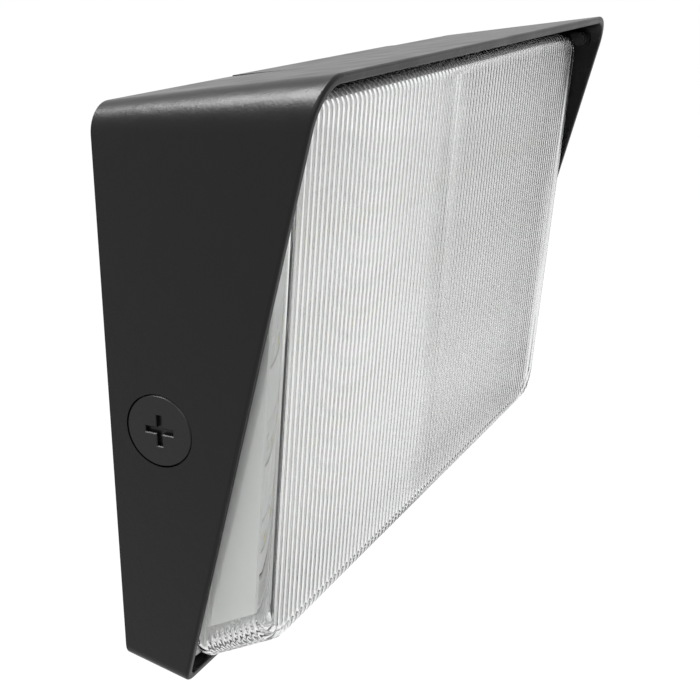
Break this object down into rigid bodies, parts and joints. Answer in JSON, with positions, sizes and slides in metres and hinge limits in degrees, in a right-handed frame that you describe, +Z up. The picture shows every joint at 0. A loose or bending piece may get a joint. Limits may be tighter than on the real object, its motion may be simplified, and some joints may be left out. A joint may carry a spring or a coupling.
{
  "type": "wall pack light",
  "caption": "Outdoor wall pack light with a visor, side cheeks, a clear prismatic lens in a swing-up door and plugged side conduit entries.",
  "frame": {"origin": "centre of the wire entry in the back wall, on the wall plane", "axes": "+Z up, +Y into the wall, -Y out to the front, X across the width"},
  "size_m": [0.292, 0.0776, 0.2087],
  "materials": {
    "black_powder_coat": "satin black powder coat on die-cast aluminium",
    "plug_coat": "satin black coat on a zinc plug",
    "clear_polycarbonate": "clear prismatic polycarbonate, fluted outside",
    "white_powder_coat": "white powder coat on steel sheet",
    "white_reflector": "white gloss reflector paint on aluminium sheet",
    "silicone_bead": "translucent silicone adhesive",
    "gasket_rubber": "black silicone rubber",
    "foam_rubber": "closed-cell foam rubber",
    "stainless_steel": "stainless steel",
    "black_oxide_steel": "black-finished steel",
    "zinc_steel": "zinc-plated steel",
    "tray_aluminium": "mill-finish aluminium sheet",
    "driver_aluminium": "plain aluminium case",
    "white_solder_mask": "white solder mask on a metal-core board",
    "led_phosphor": "yellow phosphor in a white package",
    "white_ribbon": "flat white jumper",
    "white_nylon": "natural white nylon",
    "potting_compound": "dark potting compound",
    "terminal_plastic": "ivory polyamide",
    "brass_screws": "brass",
    "green_screw": "green-dyed plated steel",
    "tinned_copper": "tinned copper",
    "black_lead": "black insulation",
    "white_lead": "white insulation",
    "green_lead": "green insulation",
    "red_lead": "red insulation",
    "blue_lead": "blue insulation"
  },
  "bodies": {
    "fixture": {"housing": "black_powder_coat", "foam_gasket": "foam_rubber", "door_gasket": "gasket_rubber", "hinge_pins": "black_oxide_steel", "light_tray": "tray_aluminium", "led_boards": "white_solder_mask", "leds": "led_phosphor", "board_links": "white_ribbon", "board_connector": "white_nylon", "reflector": "white_reflector", "reflector_spacers": "white_nylon", "driver_base": "zinc_steel", "driver_case": "driver_aluminium", "driver_potting": "potting_compound", "machine_screws": "zinc_steel", "terminal_block": "terminal_plastic", "pole_screws": "brass_screws", "ground_screw": "green_screw", "ring_terminal": "tinned_copper", "lead_line": "black_lead", "lead_neutral": "white_lead", "lead_ground": "green_lead", "lead_positive": "red_lead", "lead_negative": "blue_lead"},
    "door": {"lens": "clear_polycarbonate", "door_frame": "white_powder_coat", "hinge_arms": "black_oxide_steel", "lens_bead": "silicone_bead", "door_screws": "stainless_steel"},
    "plug_ring_left": {"plug_ring_left": "gasket_rubber"},
    "plug_left": {"conduit_plug_left": "plug_coat"},
    "plug_ring_right": {"plug_ring_right": "gasket_rubber"},
    "plug_right": {"conduit_plug_right": "plug_coat"}
  },
  "joints": [
    {"name": "door_hinge", "type": "hinge", "parent": "fixture", "child": "door", "pos_m": [0, -0.0665, 0.0955], "axis": [-1, 0, 0], "range_deg": [0, 100]},
    {"name": "plug_travel_left", "type": "slide", "parent": "fixture", "child": "plug_ring_left", "axis": [-1, 0, 0], "range_m": [0, 0.0111]},
    {"name": "plug_turn_left", "type": "hinge", "parent": "plug_ring_left", "child": "plug_left", "pos_m": [-0.146, -0.0189, -0.0065], "axis": [-1, 0, 0], "range_deg": [0, 2160]},
    {"name": "plug_travel_right", "type": "slide", "parent": "fixture", "child": "plug_ring_right", "axis": [1, 0, 0], "range_m": [0, 0.0111]},
    {"name": "plug_turn_right", "type": "hinge", "parent": "plug_ring_right", "child": "plug_right", "pos_m": [0.146, -0.0189, -0.0065], "axis": [1, 0, 0], "range_deg": [0, 2160]}
  ],
  "couplings": [
    {"joint": "plug_travel_left", "follows": "plug_turn_left", "m_per_rad": 0.00028871},
    {"joint": "plug_travel_right", "follows": "plug_turn_right", "m_per_rad": 0.00028871}
  ]
}
